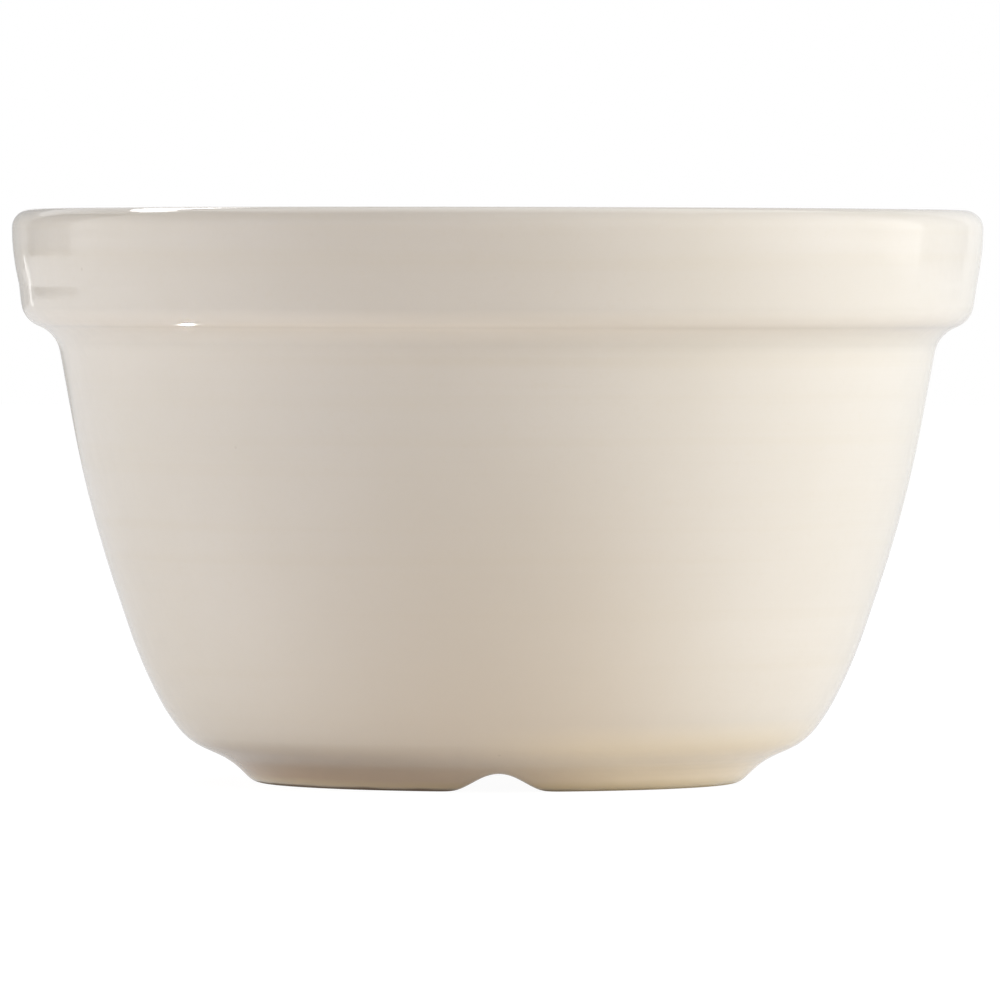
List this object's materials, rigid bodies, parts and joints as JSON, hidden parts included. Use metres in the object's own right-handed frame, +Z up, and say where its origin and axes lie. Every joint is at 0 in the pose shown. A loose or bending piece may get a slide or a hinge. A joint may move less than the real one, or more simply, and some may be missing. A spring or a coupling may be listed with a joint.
{
  "type": "pudding mould",
  "caption": "Round tapering glazed stoneware pudding mould with a thick collar rim, a rounded shoulder and a notched foot ring.",
  "frame": {"origin": "centre of the foot ring on the plane it stands on", "axes": "+Z up along the basin's axis and out of its mouth; -Y towards the foot notch seen in the picture; +X to the right in the picture"},
  "size_m": [0.16, 0.16, 0.0943],
  "materials": {
    "glaze": "glossy cream glaze over buff stoneware, bare clay under the foot ring"
  },
  "bodies": {
    "root": {"basin": "glaze"}
  },
  "joints": []
}
